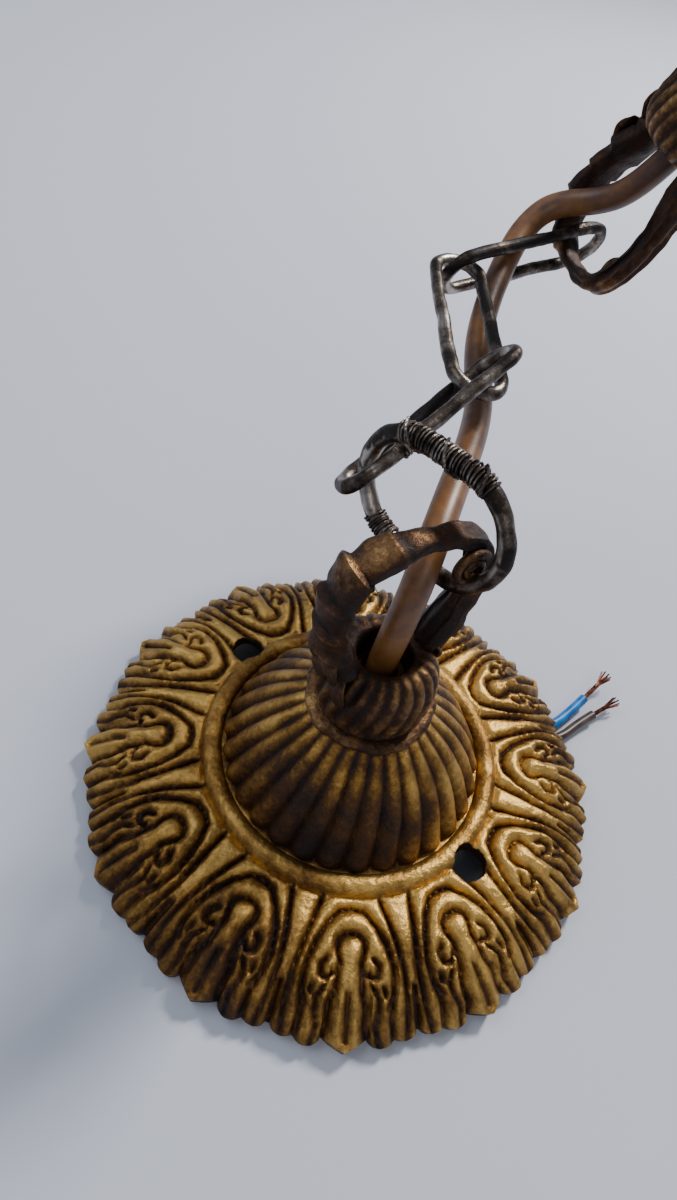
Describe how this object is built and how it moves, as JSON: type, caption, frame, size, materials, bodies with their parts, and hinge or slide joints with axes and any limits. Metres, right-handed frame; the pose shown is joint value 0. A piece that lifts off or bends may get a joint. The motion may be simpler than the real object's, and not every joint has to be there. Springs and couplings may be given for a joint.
{
  "type": "sanctuary lamp ceiling canopy and chain",
  "caption": "Leafy cast brass ceiling canopy with a fluted dome and yoke, its bent-wire chain and flex, and the crown yoke that carries a hanging sanctuary lamp.",
  "frame": {"origin": "centre of the canopy's back, in the plane of its rim, which sits against the ceiling", "axes": "+Z out of the ceiling through the dome, tube and yoke; +Y towards the side the chain lies on; +X completes the right-handed set"},
  "size_m": [0.1239, 0.1729, 0.1412],
  "materials": {
    "aged_brass": "aged cast brass, rubbed bright on the high points over a brown and black patina",
    "dark_bronze": "dark bronze patina with worn gold edges",
    "tube_brass": "plain drawn brass with a cut thread",
    "nut_steel": "dull zinc-plated steel",
    "link_steel": "brown-black oxidised wire with bare grey rubbed places",
    "binding_wire": "fine dark annealed wire",
    "flex_sheath": "brown flex sheath, slightly glossy",
    "blue_insulation": "bright blue core insulation",
    "brown_insulation": "dark grey-brown core insulation",
    "bare_copper": "dull red bare copper strands"
  },
  "bodies": {
    "canopy": {"canopy_plate": "aged_brass", "neck_collar": "dark_bronze", "canopy_yoke": "dark_bronze", "canopy_tube": "tube_brass", "canopy_washer": "nut_steel", "canopy_nut": "nut_steel", "flex_1": "flex_sheath", "neutral_core": "blue_insulation", "live_core": "brown_insulation", "neutral_strands": "bare_copper", "live_strands": "bare_copper"},
    "ring": {"ring_link": "link_steel", "ring_binding_upper": "binding_wire", "ring_binding_lower": "binding_wire"},
    "slim": {"slim_link": "link_steel", "slim_link_binding": "binding_wire", "flex_2": "flex_sheath"},
    "bent": {"bent_link": "link_steel", "flex_3": "flex_sheath"},
    "cross": {"cross_link": "link_steel", "flex_4": "flex_sheath"},
    "crown": {"crown_yoke": "dark_bronze", "crown_tube": "tube_brass", "flex_5": "flex_sheath"}
  },
  "joints": [
    {"name": "ring_swing", "type": "hinge", "parent": "canopy", "child": "ring", "pos_m": [0.00721, 0.00563, 0.06399], "axis": [-0.7634, 0.578, -0.2883], "range_deg": [-30, 30], "deforming": ["flex_1", "flex_2", "flex_3", "flex_4", "flex_5"]},
    {"name": "slim_swing", "type": "hinge", "parent": "ring", "child": "slim", "pos_m": [-0.01147, 0.02158, 0.07093], "axis": [-0.0641, 0.1792, 0.9817], "range_deg": [-30, 30], "deforming": ["flex_1", "flex_2", "flex_3", "flex_4", "flex_5"]},
    {"name": "bent_swing", "type": "hinge", "parent": "slim", "child": "bent", "pos_m": [0.00431, 0.04882, 0.07871], "axis": [-0.4933, -0.5579, -0.6674], "range_deg": [-25, 25], "deforming": ["flex_1", "flex_2", "flex_3", "flex_4", "flex_5"]},
    {"name": "cross_swing", "type": "hinge", "parent": "bent", "child": "cross", "pos_m": [-0.00453, 0.08227, 0.08144], "axis": [-0.3843, 0.0451, -0.9221], "range_deg": [-30, 30], "deforming": ["flex_1", "flex_2", "flex_3", "flex_4", "flex_5"]},
    {"name": "crown_swing", "type": "hinge", "parent": "cross", "child": "crown", "pos_m": [0.02132, 0.1056, 0.08295], "axis": [-0.2541, 0.8841, 0.3922], "range_deg": [-25, 25], "deforming": ["flex_1", "flex_2", "flex_3", "flex_4", "flex_5"]}
  ]
}
